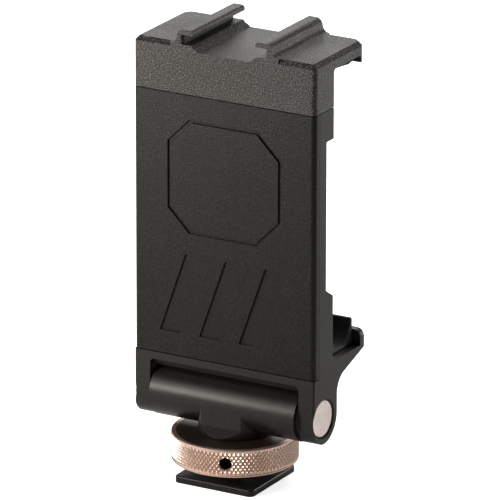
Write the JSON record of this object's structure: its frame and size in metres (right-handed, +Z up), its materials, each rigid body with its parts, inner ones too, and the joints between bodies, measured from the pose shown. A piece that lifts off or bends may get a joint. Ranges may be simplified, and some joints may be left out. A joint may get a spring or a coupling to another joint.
{
  "type": "cold shoe phone mount",
  "caption": "Phone clamp with a sprung upper jaw, a shoe socket on top, a tilt hinge and a shoe foot locked by a knurled wheel.",
  "frame": {"origin": "centre of the foot's underside, on the axis of the threaded stud", "axes": "+Z up the closed clamp, +X along the tilt hinge, +Y from the covered back of the clamp towards the phone"},
  "size_m": [0.0418, 0.0294, 0.0947],
  "materials": {
    "black_aluminium": "fine-grained satin black anodising",
    "gold_aluminium": "knurled, rose-gold anodising",
    "bright_steel": "machined bright steel",
    "black_steel": "black oxide steel",
    "spring_steel": "drawn wire",
    "bronze": "sintered bronze",
    "nylon": "black nylon",
    "black_rubber": "matte black rubber"
  },
  "bodies": {
    "base": {"shoe_foot": "black_aluminium", "foot_screw": "black_steel", "foot_stud": "bright_steel", "hinge_barrel": "black_aluminium"},
    "clamp": {"clamp_body": "black_aluminium", "front_cover": "black_aluminium", "cover_screws": "black_steel", "hinge_nut": "bright_steel", "hinge_bolt": "bright_steel", "friction_washer_right": "nylon", "friction_washer_left": "nylon", "bushing_right": "bronze", "bushing_left": "bronze", "spring_right": "spring_steel", "spring_left": "spring_steel", "back_pad": "black_rubber", "ledge_pad": "black_rubber"},
    "jaw": {"upper_jaw": "black_aluminium", "jaw_pad": "black_rubber", "guide_rod_right": "bright_steel", "guide_rod_left": "bright_steel", "rod_nut_right": "bright_steel", "rod_nut_left": "bright_steel"},
    "wheel_ring": {"wheel_washer": "nylon"},
    "wheel": {"wheel_hub": "black_aluminium", "knurled_ring": "gold_aluminium"}
  },
  "joints": [
    {"name": "tilt", "type": "hinge", "parent": "base", "child": "clamp", "pos_m": [0, -0.00056, 0.0164], "axis": [1, 0, 0], "range_deg": [-45, 90]},
    {"name": "jaw_slide", "type": "slide", "parent": "clamp", "child": "jaw", "axis": [0, 0, 1], "range_m": [0, 0.028], "stiffness_N_per_m": 300, "springref_m": -0.01, "deforming": ["spring_right", "spring_left"]},
    {"name": "wheel_travel", "type": "slide", "parent": "base", "child": "wheel_ring", "axis": [0, 0, 1], "range_m": [-0.0022, 0]},
    {"name": "wheel_turn", "type": "hinge", "parent": "wheel_ring", "child": "wheel", "pos_m": [0, 0, 0.007], "axis": [0, 0, 1], "range_deg": [-625, 0]}
  ],
  "couplings": [
    {"joint": "wheel_turn", "follows": "wheel_travel", "rad_per_m": 4947.4}
  ]
}
